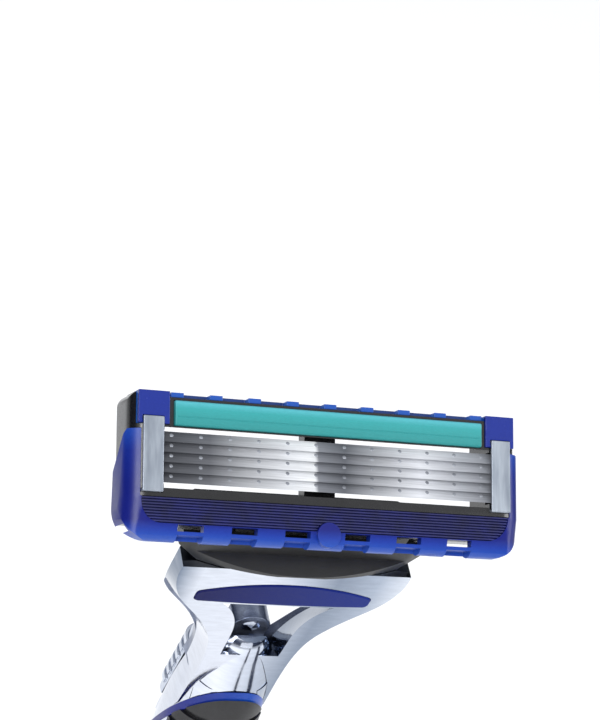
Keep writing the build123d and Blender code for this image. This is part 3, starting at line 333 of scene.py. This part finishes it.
# ---------- CAD pieces with rounded edges ----------
SOFT_ANGLE = math.radians(28)
FLAT_ANGLE = math.radians(1)
WELD_DISTANCE = 0.001           # millimetres
EDGE_WIDTH = {                  # millimetres
    "neck_fork": 0.1,
    "eject_button": 0.14,
    "trim_ring": 0.12,
    "guard_frame": 0.1,
    "cartridge_housing": 0.08,
    "trimmer_comb": 0.1,
    "lubricating_strip": 0.12,
    "clip_left": 0.09,
    "clip_right": 0.09,
    "connecting_yoke": 0.12,
    "front_plate": 0.14,
    "ejector_pusher": 0.1,
    "front_grip": 0.09,
    "back_grip": 0.09,
}


def put(name, mesh, node, look):
    """Links a new object that rides on a node's body and has one of the looks."""
    obj = bpy.data.objects.new(name, mesh)
    bpy.context.scene.collection.objects.link(obj)
    obj.data.materials.clear()
    obj.data.materials.append(LOOKS[look])
    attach(obj, body_of(node))
    return obj


def smooth_by_angle(shape):
    for face in shape.faces:
        face.smooth = True
    for edge in shape.edges:
        flat = len(edge.link_faces) == 2 and edge.calc_face_angle(0) < SOFT_ANGLE
        edge.smooth = flat


def rounded(node, width):
    """A copy of a CAD piece with its sharp edges rounded, shown in the piece's place."""
    mesh = frame["nodes"][node].data.copy()
    shape = bmesh.new()
    shape.from_mesh(mesh)
    bmesh.ops.remove_doubles(shape, verts=shape.verts, dist=WELD_DISTANCE * MM)
    bmesh.ops.dissolve_limit(
        shape, angle_limit=FLAT_ANGLE, verts=shape.verts, edges=shape.edges,
    )
    smooth_by_angle(shape)
    shape.to_mesh(mesh)
    shape.free()
    obj = put(node + "_rounded", mesh, node, slots[node])
    bevel = obj.modifiers.new("edges", "BEVEL")
    bevel.width = width * MM
    bevel.segments = 2
    bevel.limit_method = "ANGLE"
    bevel.angle_limit = SOFT_ANGLE
    bevel.use_clamp_overlap = True
    bevel.harden_normals = True
    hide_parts(node)


for node, piece in frame["nodes"].items():
    piece.data.materials.clear()
    piece.data.materials.append(LOOKS[slots[node]])
for node, width in EDGE_WIDTH.items():
    rounded(node, width)

# ---------- details, in millimetres ----------
DOT_PITCH = 3.03
DOT_COUNT = 12
DOT_RADIUS = 0.2
DOT_PROUD = 0.05
DOT_DEPTH = 0.78                # from a blade's edge to its dots
LINE_SHARE = 0.36               # the strip line's place between the strip's edges
LINE_HALF = 16.2
LINE_RADIUS = 0.05
NOSE_PLACE = (0, -0.75, -25.8)  # in the neck's frame
NOSE_SIZE = (1.7, 1.45, 1.1)    # half-width, half-height and half-depth


def mesh_of(shape, name):
    mesh = bpy.data.meshes.new(name)
    smooth_by_angle(shape)
    shape.to_mesh(mesh)
    shape.free()
    return mesh


def frame_matrix(origin, up, out):
    """The matrix of a local frame whose X runs along the blades."""
    axes = Matrix((ACROSS, up, out)).transposed().to_4x4()
    return Matrix.Translation(origin) @ axes


def weld_dots(index):
    """The row of weld dots on one blade."""
    shape = bmesh.new()
    edge = ((BLADE_COUNT - 1) / 2 - index) * BLADE_PITCH
    up = FACE_UP * math.cos(BLADE_TILT) - FACE_OUT * math.sin(BLADE_TILT)
    out = FACE_UP * math.sin(BLADE_TILT) + FACE_OUT * math.cos(BLADE_TILT)
    for number in range(DOT_COUNT):
        x = (number - (DOT_COUNT - 1) / 2) * DOT_PITCH
        middle = at_face(x, edge, 0) + up * DOT_DEPTH * MM
        place = frame_matrix(middle, up, out)
        size = Matrix.Diagonal((DOT_RADIUS * MM, DOT_RADIUS * MM, DOT_PROUD * MM, 1))
        bmesh.ops.create_uvsphere(shape, u_segments=12, v_segments=6, radius=1, matrix=place @ size)
    node = "blade_%d" % (index + 1)
    put("weld_dots_%d" % (index + 1), mesh_of(shape, "weld_dots"), node, "support_steel")


def strip_line():
    """A thin round bead along the strip."""
    shape = bmesh.new()
    low, high = STRIP_LIMITS
    place = frame_matrix(at_face(0, low + (high - low) * LINE_SHARE, STRIP_FACE), FACE_UP, FACE_OUT)
    turn = Matrix.Rotation(math.radians(90), 4, "Y")
    radius = LINE_RADIUS * MM
    bmesh.ops.create_cone(
        shape, cap_ends=True, segments=12, radius1=radius, radius2=radius,
        depth=2 * LINE_HALF * MM, matrix=place @ turn,
    )
    put("strip_line", mesh_of(shape, "strip_line"), "lubricating_strip", "strip")


def nose_crystal():
    """The faceted dome at the top of the pusher's stem."""
    shape = bmesh.new()
    place = frame_matrix(at_neck(*NOSE_PLACE), NECK_UP, -NECK_BACK)
    size = Matrix.Diagonal((*[half * MM for half in NOSE_SIZE], 1))
    bmesh.ops.create_icosphere(shape, subdivisions=2, radius=1, matrix=place @ size)
    mesh = bpy.data.meshes.new("nose_crystal")
    shape.to_mesh(mesh)
    shape.free()
    put("nose_crystal", mesh, "ejector_pusher", "chrome_button")


def compressed_spring(node):
    """A copy of a spring, riding on the spring's body, with the CAD spring hidden."""
    source = frame["nodes"][node].data
    coil = put(node + "_coil", source.copy(), node, slots[node])
    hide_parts(node)
    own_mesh(coil)


for index in range(BLADE_COUNT):
    weld_dots(index)
nose_crystal()
strip_line()
compressed_spring("plunger_spring")

# ---------- camera ----------
TURN, TIP, ROLL = (math.radians(a) for a in (22.0, -9.73, -0.33))
CAMERA_PLACE = Vector((-0.08965, -0.17397, 0.21311))


def camera_rows():
    """The camera's right, up and back directions in the cartridge's own frame."""
    cos, sin = math.cos, math.sin
    turn = Matrix(((cos(TURN), 0, sin(TURN)), (0, 1, 0), (-sin(TURN), 0, cos(TURN))))
    tip = Matrix(((1, 0, 0), (0, cos(TIP), -sin(TIP)), (0, sin(TIP), cos(TIP))))
    roll = Matrix(((cos(ROLL), -sin(ROLL), 0), (sin(ROLL), cos(ROLL), 0), (0, 0, 1)))
    return roll @ tip @ turn


def add_camera():
    face = Matrix((ACROSS, FACE_UP, FACE_OUT))
    rows = camera_rows() @ face
    camera = bpy.data.objects.new("camera", bpy.data.cameras.new("camera"))
    bpy.context.scene.collection.objects.link(camera)
    place = Matrix.Translation(CAMERA_PLACE)
    camera.matrix_world = place @ rows.transposed().to_4x4()
    camera.data.sensor_width = 36.0
    camera.data.lens = 118.11
    camera.data.shift_y = 0.0903
    camera.data.clip_start = 0.01
    camera.data.clip_end = 20.0
    bpy.context.scene.camera = camera


add_camera()


# ---------- floor, world and lights ----------
FLOOR_HALF = 4.0                # metres
FLOOR_GAP = 0.0005              # from the floor up to the part
CARD_AIM = Vector((0, 0, 0.04))
LIGHT_AIM = (0, 0, 0.05)
FILL_AIM = (0, 0, 0.03)


def add_floor():
    mesh = bpy.data.meshes.new("floor")
    half = FLOOR_HALF
    z = cad_box[0].z - FLOOR_GAP
    corners = [(-half, -half, z), (half, -half, z), (half, half, z), (-half, half, z)]
    mesh.from_pydata(corners, [], [(0, 1, 2, 3)])
    floor = bpy.data.objects.new("floor", mesh)
    bpy.context.scene.collection.objects.link(floor)
    material, _, shader = new_material("floor")
    shader.inputs["Base Color"].default_value = (0.97, 0.97, 0.97, 1)
    shader.inputs["Roughness"].default_value = 0.9
    floor.data.materials.append(material)


def add_card(name, place, size, shade):
    """A dark card out of view, for the chrome to reflect."""
    shape = bmesh.new()
    aim = (CARD_AIM - Vector(place)).to_track_quat("Z", "Y").to_matrix().to_4x4()
    scale = Matrix.Diagonal((size[0], size[1], 1, 1))
    matrix = Matrix.Translation(place) @ aim @ scale
    bmesh.ops.create_grid(shape, x_segments=1, y_segments=1, size=0.5, matrix=matrix)
    card = bpy.data.objects.new(name, mesh_of(shape, name))
    bpy.context.scene.collection.objects.link(card)
    material, _, shader = new_material(name)
    shader.inputs["Base Color"].default_value = (*shade, 1)
    shader.inputs["Roughness"].default_value = 1.0
    card.data.materials.append(material)
    card.visible_camera = False
    card.visible_shadow = False


def add_light(name, place, target, size, power):
    data = bpy.data.lights.new(name, "AREA")
    data.shape = "RECTANGLE"
    data.size, data.size_y = size
    data.energy = power
    light = bpy.data.objects.new(name, data)
    bpy.context.scene.collection.objects.link(light)
    light.location = place
    light.rotation_mode = "QUATERNION"
    light.rotation_quaternion = (Vector(target) - Vector(place)).to_track_quat("-Z", "Y")


def add_world():
    """A pale room with a dark band just above the horizon, for the chrome to reflect."""
    world = bpy.data.worlds.new("world")
    bpy.context.scene.world = world
    world.use_nodes = True
    tree = world.node_tree
    place = tree.nodes.new("ShaderNodeTexCoord")
    split = tree.nodes.new("ShaderNodeSeparateXYZ")
    spread = tree.nodes.new("ShaderNodeMapRange")
    spread.inputs["From Min"].default_value = -1.0
    tree.links.new(place.outputs["Generated"], split.inputs["Vector"])
    tree.links.new(split.outputs["Z"], spread.inputs["Value"])
    shades = (
        (0.0, (0.9, 0.92, 1.0)),
        (0.44, (0.55, 0.6, 0.75)),
        (0.52, (0.04, 0.05, 0.09)),
        (0.62, (0.12, 0.15, 0.24)),
        (0.8, (1.15, 1.17, 1.2)),
    )
    sky = ramp(tree, spread.outputs["Result"], shades)
    back = tree.nodes["Background"]
    tree.links.new(sky, back.inputs["Color"])
    back.inputs["Strength"].default_value = 0.7


add_floor()
add_world()
add_light("key", (-0.35, -0.5, 0.55), LIGHT_AIM, size=(0.4, 0.4), power=5.5)
add_light("side", (0.6, -0.2, 0.35), LIGHT_AIM, size=(0.3, 0.5), power=2.5)
add_light("fill", (0.0, -0.6, 0.1), FILL_AIM, size=(0.5, 0.2), power=0.4)
add_card("card_left", (-0.3, 0.0, 0.06), size=(0.16, 0.34), shade=(0.03, 0.04, 0.07))
add_card("card_right", (0.3, 0.1, 0.1), size=(0.12, 0.4), shade=(0.04, 0.05, 0.08))
add_card("card_low", (0.045, -0.16, -0.05), size=(0.016, 0.16), shade=(0.03, 0.04, 0.07))
add_card("card_low_right", (0.12, -0.1, -0.05), size=(0.03, 0.16), shade=(0.04, 0.05, 0.09))
bpy.context.scene.view_settings.view_transform = "Standard"
